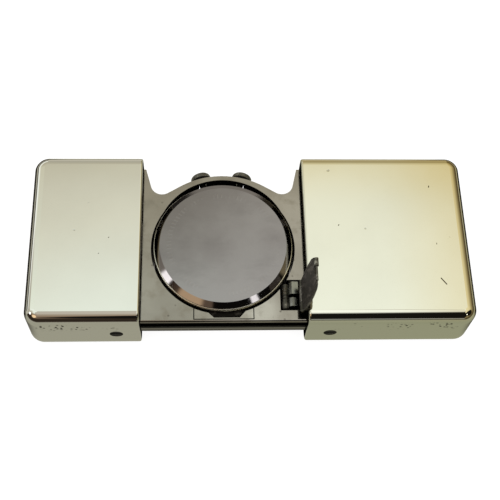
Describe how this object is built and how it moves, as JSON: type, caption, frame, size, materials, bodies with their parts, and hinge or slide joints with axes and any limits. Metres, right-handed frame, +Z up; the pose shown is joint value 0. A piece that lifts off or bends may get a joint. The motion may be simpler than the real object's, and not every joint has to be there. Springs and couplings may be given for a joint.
{
  "type": "slide-open pocket clock",
  "caption": "Pocket clock in a slide-open rectangular metal case: two case halves slide apart over a frame that holds a round alarm watch, with a small fold-out stand.",
  "frame": {"origin": "middle of the base of the opened case, which lies dial down", "axes": "+X along the case towards the longer half, +Y across it towards the crowns, +Z up out of the clock back"},
  "size_m": [0.0908, 0.0382, 0.0189],
  "materials": {
    "chrome_case": "mirror polished, cool",
    "warm_case": "mirror polished, slightly warm and worn",
    "watch_chrome": "polished",
    "frame_nickel": "brushed, faintly stained",
    "steel": "plain",
    "spring_steel": "satin",
    "dark_steel": "blackened",
    "nylon": "matte",
    "seal": "matte",
    "crystal_glass": "clear",
    "dial_white": "satin",
    "brass_parts": "satin",
    "board_green": "solder mask",
    "copper_coil": "enamelled winding",
    "hand_black": "gloss",
    "hand_red": "gloss"
  },
  "bodies": {
    "root": {"alarm_tube": "steel", "battery": "steel", "battery_clamp": "spring_steel", "bezel": "watch_chrome", "case_back": "watch_chrome", "case_gasket": "seal", "case_lug": "dark_steel", "case_middle": "watch_chrome", "catch_leaves": "spring_steel", "catch_rod": "dark_steel", "circuit_board": "board_green", "coil": "copper_coil", "coil_core": "steel", "crystal": "crystal_glass", "crystal_gasket": "seal", "dial": "dial_white", "dial_ring": "dial_white", "frame_tray": "frame_nickel", "front_plate": "frame_nickel", "glide_pads": "nylon", "main_plate": "brass_parts", "movement_cover": "steel", "movement_ring": "nylon", "piezo_disc": "brass_parts", "plate_screws": "steel", "stator": "steel", "time_tube": "steel", "train_bridge": "steel", "watch_clamp": "frame_nickel"},
    "left_case": {"left_shell": "chrome_case", "left_guide_plate": "steel", "left_guide_screw": "dark_steel"},
    "right_case": {"right_shell": "warm_case", "right_guide_plate": "steel", "right_guide_screw": "dark_steel", "stand_bracket": "dark_steel", "stand_pin": "steel"},
    "stand": {"stand_leg": "dark_steel", "stand_roller": "steel"},
    "time_pull": {"time_yoke": "steel"},
    "time_crown_set": {"time_stem": "steel", "time_crown": "watch_chrome"},
    "alarm_pull": {"alarm_yoke": "steel"},
    "alarm_crown_set": {"alarm_stem": "steel", "alarm_crown": "watch_chrome"},
    "second_arbor": {"second_wheel": "brass_parts", "second_hand": "hand_black"},
    "third_arbor": {"third_wheel": "brass_parts"},
    "centre_arbor": {"centre_wheel": "brass_parts", "minute_hand": "hand_black"},
    "minute_post": {"minute_wheel": "brass_parts"},
    "hour_arbor": {"hour_wheel": "brass_parts", "hour_hand": "hand_black"},
    "alarm_arbor": {"alarm_wheel": "brass_parts", "alarm_hand": "hand_red"},
    "step_arbor": {"step_wheel": "brass_parts"},
    "rotor_arbor": {"rotor": "dark_steel"}
  },
  "joints": [
    {"name": "left_slide", "type": "slide", "parent": "root", "child": "left_case", "axis": [1, 0, 0], "range_m": [0, 0.0111]},
    {"name": "right_slide", "type": "slide", "parent": "root", "child": "right_case", "axis": [-1, 0, 0], "range_m": [0, 0.0225]},
    {"name": "stand_fold", "type": "hinge", "parent": "right_case", "child": "stand", "pos_m": [0.0099, -0.01315, 0.0115], "axis": [0, -1, 0], "range_deg": [0, 110]},
    {"name": "time_crown_pull", "type": "slide", "parent": "root", "child": "time_pull", "axis": [-0.2588, 0.9659, 0], "range_m": [0, 0.0005]},
    {"name": "time_crown_turn", "type": "hinge", "parent": "time_pull", "child": "time_crown_set", "pos_m": [-0.01026, 0.01585, 0.0075], "axis": [-0.2588, 0.9659, 0], "continuous": true},
    {"name": "alarm_crown_pull", "type": "slide", "parent": "root", "child": "alarm_pull", "axis": [0.2402, 0.9707, 0], "range_m": [0, 0.0005]},
    {"name": "alarm_crown_turn", "type": "hinge", "parent": "alarm_pull", "child": "alarm_crown_set", "pos_m": [-0.00147, 0.01594, 0.0075], "axis": [0.2402, 0.9707, 0], "continuous": true},
    {"name": "second_turn", "type": "hinge", "parent": "root", "child": "second_arbor", "pos_m": [-0.0057, -0.00115, 0.006], "axis": [0, 0, 1], "continuous": true},
    {"name": "third_turn", "type": "hinge", "parent": "root", "child": "third_arbor", "pos_m": [-0.00279, 0.00097, 0.006], "axis": [0, 0, 1], "continuous": true},
    {"name": "minute_turn", "type": "hinge", "parent": "root", "child": "centre_arbor", "pos_m": [-0.0057, -0.00115, 0.006], "axis": [0, 0, 1], "continuous": true},
    {"name": "minute_wheel_turn", "type": "hinge", "parent": "root", "child": "minute_post", "pos_m": [-0.00461, -0.00416, 0.006], "axis": [0, 0, 1], "continuous": true},
    {"name": "hour_turn", "type": "hinge", "parent": "root", "child": "hour_arbor", "pos_m": [-0.0057, -0.00115, 0.006], "axis": [0, 0, 1], "continuous": true},
    {"name": "alarm_turn", "type": "hinge", "parent": "root", "child": "alarm_arbor", "pos_m": [-0.0057, -0.00115, 0.006], "axis": [0, 0, 1], "continuous": true},
    {"name": "step_turn", "type": "hinge", "parent": "root", "child": "step_arbor", "pos_m": [-0.0096, 0.00041, 0.006], "axis": [0, 0, 1], "continuous": true},
    {"name": "rotor_turn", "type": "hinge", "parent": "root", "child": "rotor_arbor", "pos_m": [-0.01135, -0.00262, 0.006], "axis": [0, 0, 1], "continuous": true}
  ],
  "couplings": [
    {"joint": "minute_wheel_turn", "follows": "minute_turn", "ratio": -0.33333},
    {"joint": "hour_turn", "follows": "minute_turn", "ratio": 0.083333},
    {"joint": "third_turn", "follows": "minute_turn", "ratio": -7.5},
    {"joint": "second_turn", "follows": "minute_turn", "ratio": 60},
    {"joint": "step_turn", "follows": "minute_turn", "ratio": -300},
    {"joint": "rotor_turn", "follows": "minute_turn", "ratio": 1800}
  ]
}
